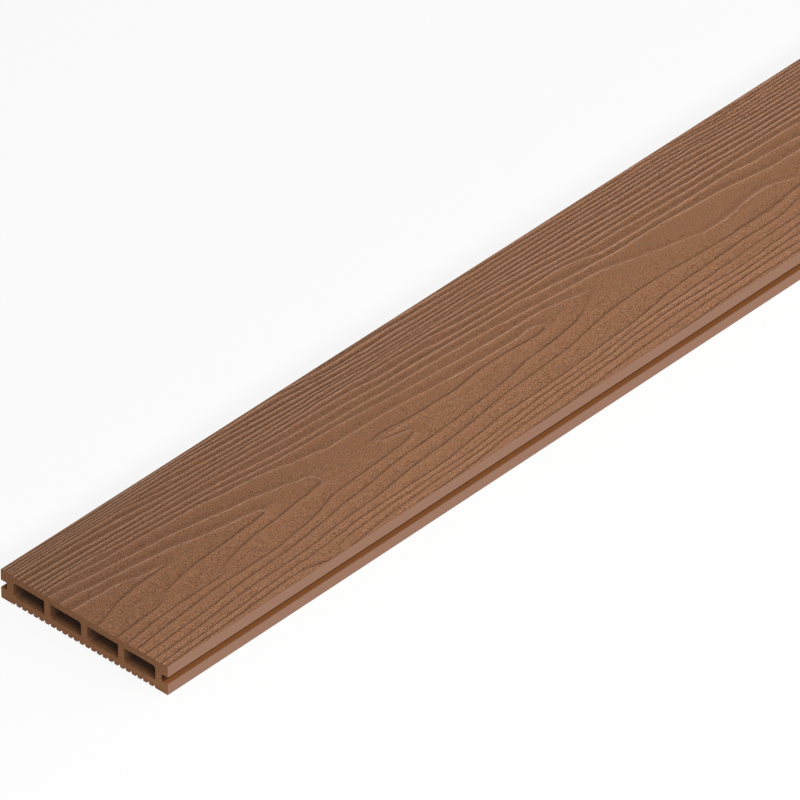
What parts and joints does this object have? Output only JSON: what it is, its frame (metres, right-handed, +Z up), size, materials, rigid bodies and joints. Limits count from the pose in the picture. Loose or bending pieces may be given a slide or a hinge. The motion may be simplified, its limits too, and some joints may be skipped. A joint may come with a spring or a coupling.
{
  "type": "decking board",
  "caption": "Hollow wood-plastic composite decking board with a wood-grain walking face, rectangular chambers, a clip slot along each side and a ribbed underside.",
  "frame": {"origin": "on the floor under the middle of the board", "axes": "+X along the board's length, +Y across its width, +Z up out of the walking face"},
  "size_m": [2.2, 0.146, 0.0225],
  "materials": {
    "wood_plastic": "matt brown wood-plastic composite, embossed with wood grain on the walking face"
  },
  "bodies": {
    "root": {"decking_board": "wood_plastic"}
  },
  "joints": []
}
